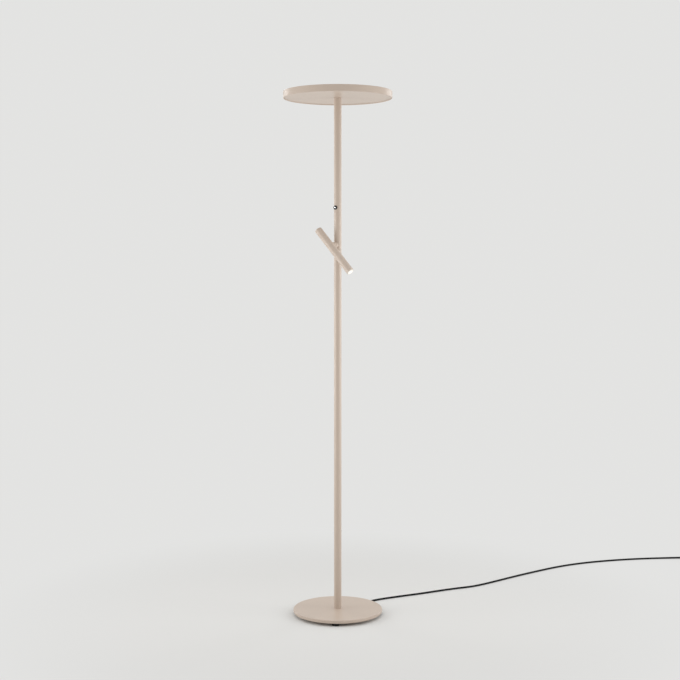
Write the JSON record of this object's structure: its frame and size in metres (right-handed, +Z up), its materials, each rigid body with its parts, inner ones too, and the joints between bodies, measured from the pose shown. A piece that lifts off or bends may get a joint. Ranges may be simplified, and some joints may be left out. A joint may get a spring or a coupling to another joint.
{
  "type": "floor lamp with reading light",
  "caption": "Tall floor lamp with a flat round uplight head on a slim pole, a round plate base, a swivelling tube reading light and a push-button dimmer on the pole.",
  "frame": {"origin": "on the floor under the axis of the pole, the bottom centre of the lamp without its free lead", "axes": "+Z up along the pole; -Y is the front, where the dimmer button and the reading light's pivot are; the lead leaves at +Y"},
  "size_m": [0.9175, 1.7092, 1.75],
  "materials": {
    "sand_paint": "satin powder coat",
    "black_rubber": "matt",
    "black_plastic": "satin",
    "cord_sheath": "satin",
    "steel": "zinc plated",
    "button_metal": "polished",
    "pin_metal": "nickel plated",
    "opal": "opal satin",
    "lens": "frosted",
    "aluminium": "plain",
    "reflector": "polished",
    "white_board": "solder mask",
    "led": "plain",
    "white_plastic": "plain",
    "insulation": "plain"
  },
  "bodies": {
    "stand": {"base_feet": "black_rubber", "base_plate": "sand_paint", "control_lead": "insulation", "cord_clamp": "black_plastic", "cord_clamp_screws": "steel", "cord_coil": "cord_sheath", "cord_plug": "black_plastic", "cord_run": "cord_sheath", "cord_ties": "black_plastic", "diffuser_ring": "aluminium", "dimmer_bezel": "black_plastic", "dimmer_board": "white_board", "dimmer_carrier": "white_plastic", "dimmer_switch": "white_plastic", "driver_leads": "insulation", "foot_nut": "steel", "foot_washer": "steel", "head_diffuser": "opal", "head_leds": "led", "head_nipple": "steel", "head_nut": "steel", "head_shell": "sand_paint", "head_washer": "steel", "led_driver": "white_plastic", "led_ring_board": "white_board", "lower_pole": "sand_paint", "pivot_bolt": "steel", "pivot_mount": "sand_paint", "pivot_nut": "steel", "pivot_spring_washer": "steel", "pivot_washer": "white_plastic", "plug_pins": "pin_metal", "pole_cable": "cord_sheath", "pole_foot": "steel", "pole_joiner": "steel", "pole_top_bush": "steel", "spot_feed_lead": "insulation", "upper_pole": "sand_paint"},
    "reading_light": {"spot_boss": "sand_paint", "spot_tube": "sand_paint", "spot_rear_cap": "sand_paint", "spot_heat_sink": "aluminium", "spot_led_board": "white_board", "spot_reflector": "reflector", "spot_lens": "lens", "spot_lead": "insulation"},
    "dimmer_button": {"dimmer_button": "button_metal", "dimmer_plunger": "white_plastic"}
  },
  "joints": [
    {"name": "reading_light_swivel", "type": "hinge", "parent": "stand", "child": "reading_light", "pos_m": [0, -0.04, 1.245], "axis": [0, -1, 0], "range_deg": [-175, 175]},
    {"name": "dimmer_press", "type": "slide", "parent": "stand", "child": "dimmer_button", "axis": [0, 1, 0], "range_m": [0, 0.001], "stiffness_N_per_m": 800, "springref_m": -0.0005}
  ]
}
